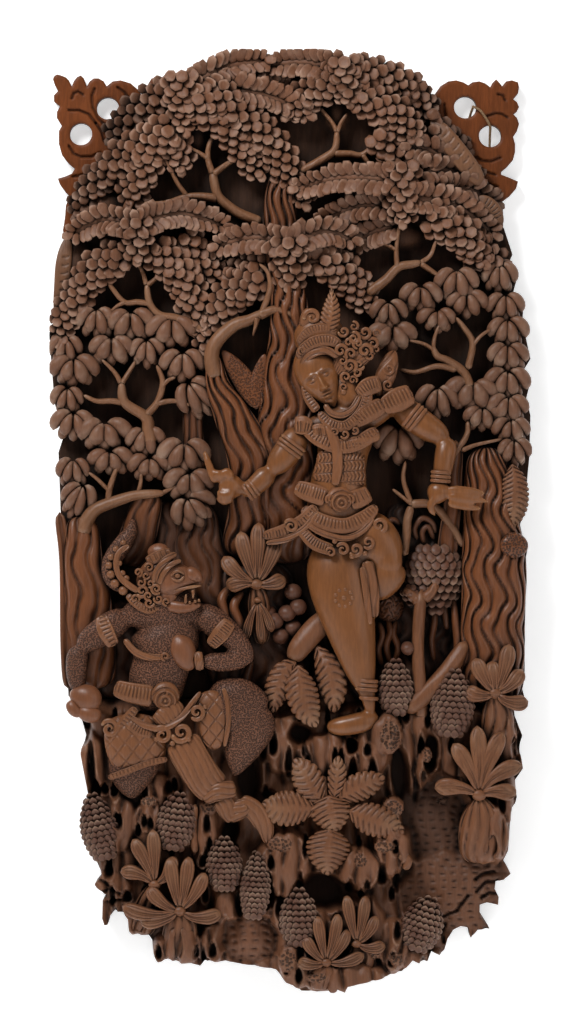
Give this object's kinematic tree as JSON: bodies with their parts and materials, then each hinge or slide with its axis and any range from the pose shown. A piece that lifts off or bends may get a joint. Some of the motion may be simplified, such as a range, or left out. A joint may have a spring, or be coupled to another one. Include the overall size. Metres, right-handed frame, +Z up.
{
  "type": "carved wall panel",
  "caption": "Tall hardwood wall panel carved in deep relief with a crowned figure and a monkey figure in a forest, with pierced corner ears and a twine tie.",
  "frame": {"origin": "centre of the flat back, in the plane of the wall", "axes": "+Z up, the carving faces -Y, +X to the viewer's right"},
  "size_m": [0.512, 0.0901, 1],
  "materials": {
    "carved_wood": "hand carved hardwood, oiled and rubbed, with dark recesses, worn pale edges and stippled fur",
    "twine": "pale twisted plant fibre twine"
  },
  "bodies": {
    "root": {"carved_panel": "carved_wood", "hanging_tie": "twine"}
  },
  "joints": []
}
